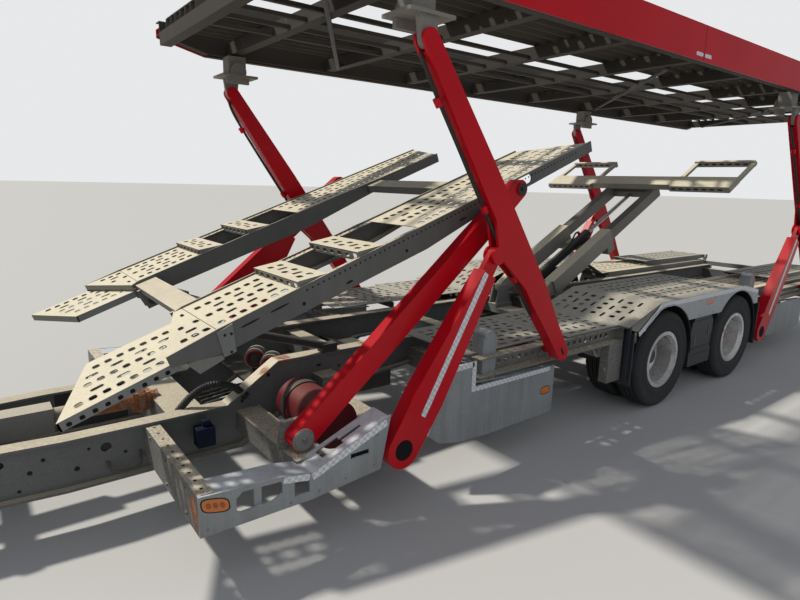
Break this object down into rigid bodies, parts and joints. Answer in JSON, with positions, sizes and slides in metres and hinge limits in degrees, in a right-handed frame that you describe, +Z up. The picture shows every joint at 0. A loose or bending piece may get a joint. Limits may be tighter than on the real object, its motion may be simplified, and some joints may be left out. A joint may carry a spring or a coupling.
{
  "type": "car transporter trailer",
  "caption": "Two-deck drawbar trailer for carrying cars: a lifting upper deck on folding arms over a low frame with a tilting platform, wheel support boom and twin-wheel axles.",
  "frame": {"origin": "on the road under the middle of the trailer's overall length and width", "axes": "+X forwards to the drawbar eye, +Y to the left, +Z up"},
  "size_m": [11.655, 2.55, 2.94],
  "materials": {
    "grey_paint": "worn satin",
    "galvanised": "dull galvanised",
    "red_paint": "gloss",
    "dark_steel": "dusty satin",
    "box_plastic": "matt",
    "wheel_paint": "satin",
    "tyre_rubber": "matt"
  },
  "bodies": {
    "trailer": {"chassis_frame": "grey_paint", "drawbar_eye": "dark_steel", "parking_leg": "grey_paint", "outriggers": "grey_paint", "side_panels": "grey_paint", "side_rails": "galvanised", "wheel_decks": "galvanised", "tool_boxes": "box_plastic", "axles": "dark_steel", "suspension": "dark_steel", "air_tank": "red_paint", "oil_tank": "dark_steel", "drawbar_core": "dark_steel", "rear_deck": "grey_paint", "tail_bar": "grey_paint", "platform_stand": "grey_paint", "support_stand": "grey_paint"},
    "wheels_front_left": {"tyres_front_left": "tyre_rubber", "rims_front_left": "wheel_paint"},
    "wheels_front_right": {"tyres_front_right": "tyre_rubber", "rims_front_right": "wheel_paint"},
    "wheels_rear_left": {"tyres_rear_left": "tyre_rubber", "rims_rear_left": "wheel_paint"},
    "wheels_rear_right": {"tyres_rear_right": "tyre_rubber", "rims_rear_right": "wheel_paint"},
    "front_struts": {"strut_arms_front": "red_paint"},
    "front_arms": {"long_arms_front": "red_paint"},
    "upper_deck": {"upper_deck_frame": "grey_paint", "upper_runways": "galvanised", "deck_fascias": "red_paint", "deck_posts": "grey_paint"},
    "rear_struts": {"strut_arms_rear": "red_paint"},
    "rear_arms": {"long_arms_rear": "red_paint"},
    "platform": {"platform_frame": "galvanised", "platform_treads": "galvanised", "platform_plates": "galvanised"},
    "platform_booms": {"booms": "red_paint"},
    "left_extension": {"extension_left": "galvanised"},
    "right_extension": {"extension_right": "galvanised"},
    "support_boom": {"support_tubes": "grey_paint", "support_barrel": "grey_paint"},
    "wheel_carriage": {"support_carriage": "galvanised", "wheel_cradles": "galvanised"},
    "left_ramp": {"ramp_left": "galvanised"},
    "right_ramp": {"ramp_right": "galvanised"}
  },
  "joints": [
    {"name": "wheels_front_left_spin", "type": "hinge", "parent": "trailer", "child": "wheels_front_left", "pos_m": [-0.9475, 0, 0.4], "axis": [0, 1, 0], "continuous": true},
    {"name": "wheels_front_right_spin", "type": "hinge", "parent": "trailer", "child": "wheels_front_right", "pos_m": [-0.9475, 0, 0.4], "axis": [0, 1, 0], "continuous": true},
    {"name": "wheels_rear_left_spin", "type": "hinge", "parent": "trailer", "child": "wheels_rear_left", "pos_m": [-2.2275, 0, 0.4], "axis": [0, 1, 0], "continuous": true},
    {"name": "wheels_rear_right_spin", "type": "hinge", "parent": "trailer", "child": "wheels_rear_right", "pos_m": [-2.2275, 0, 0.4], "axis": [0, 1, 0], "continuous": true},
    {"name": "front_struts_turn", "type": "hinge", "parent": "trailer", "child": "front_struts", "pos_m": [1.7355, 0, 0.365], "axis": [0, 1, 0], "range_deg": [-20, 6]},
    {"name": "front_arms_fold", "type": "hinge", "parent": "front_struts", "child": "front_arms", "pos_m": [1.0825, 0, 1.3725], "axis": [0, 1, 0], "range_deg": [-12, 40]},
    {"name": "upper_deck_level", "type": "hinge", "parent": "front_arms", "child": "upper_deck", "pos_m": [1.6375, 0, 2.437], "axis": [0, 1, 0], "range_deg": [-20, 6]},
    {"name": "rear_struts_turn", "type": "hinge", "parent": "trailer", "child": "rear_struts", "pos_m": [-2.8745, 0, 0.365], "axis": [0, 1, 0], "range_deg": [-20, 6]},
    {"name": "rear_arms_fold", "type": "hinge", "parent": "rear_struts", "child": "rear_arms", "pos_m": [-3.5275, 0, 1.3725], "axis": [0, 1, 0], "range_deg": [-12, 40]},
    {"name": "platform_tilt", "type": "hinge", "parent": "trailer", "child": "platform", "pos_m": [2.5585, 0, 0.984], "axis": [0, 1, 0], "range_deg": [-17.5, 3]},
    {"name": "booms_turn", "type": "hinge", "parent": "trailer", "child": "platform_booms", "pos_m": [2.2425, 0, 0.493], "axis": [0, 1, 0], "range_deg": [-19.4, 3.35]},
    {"name": "left_extension_slide", "type": "slide", "parent": "platform", "child": "left_extension", "axis": [-0.9391, 0, 0.3437], "range_m": [0, 0.42]},
    {"name": "right_extension_slide", "type": "slide", "parent": "platform", "child": "right_extension", "axis": [-0.9391, 0, 0.3437], "range_m": [-0.1, 0.32]},
    {"name": "support_boom_tilt", "type": "hinge", "parent": "trailer", "child": "support_boom", "pos_m": [-0.6175, 0, 0.79], "axis": [0, 1, 0], "range_deg": [-12, 4]},
    {"name": "wheel_carriage_slide", "type": "slide", "parent": "support_boom", "child": "wheel_carriage", "axis": [-0.8805, 0, 0.4741], "range_m": [-0.45, 0.35]},
    {"name": "left_ramp_fold", "type": "hinge", "parent": "trailer", "child": "left_ramp", "pos_m": [-5.3325, 0.74, 0.79], "axis": [0, 1, 0], "range_deg": [-207, 0]},
    {"name": "right_ramp_fold", "type": "hinge", "parent": "trailer", "child": "right_ramp", "pos_m": [-5.3325, -0.74, 0.79], "axis": [0, 1, 0], "range_deg": [-207, 0]}
  ],
  "couplings": [
    {"joint": "front_arms_fold", "follows": "front_struts_turn", "ratio": -2},
    {"joint": "upper_deck_level", "follows": "front_struts_turn", "ratio": 1},
    {"joint": "rear_struts_turn", "follows": "front_struts_turn", "ratio": 1},
    {"joint": "rear_arms_fold", "follows": "front_struts_turn", "ratio": -2},
    {"joint": "booms_turn", "follows": "platform_tilt", "ratio": 1.1075}
  ]
}
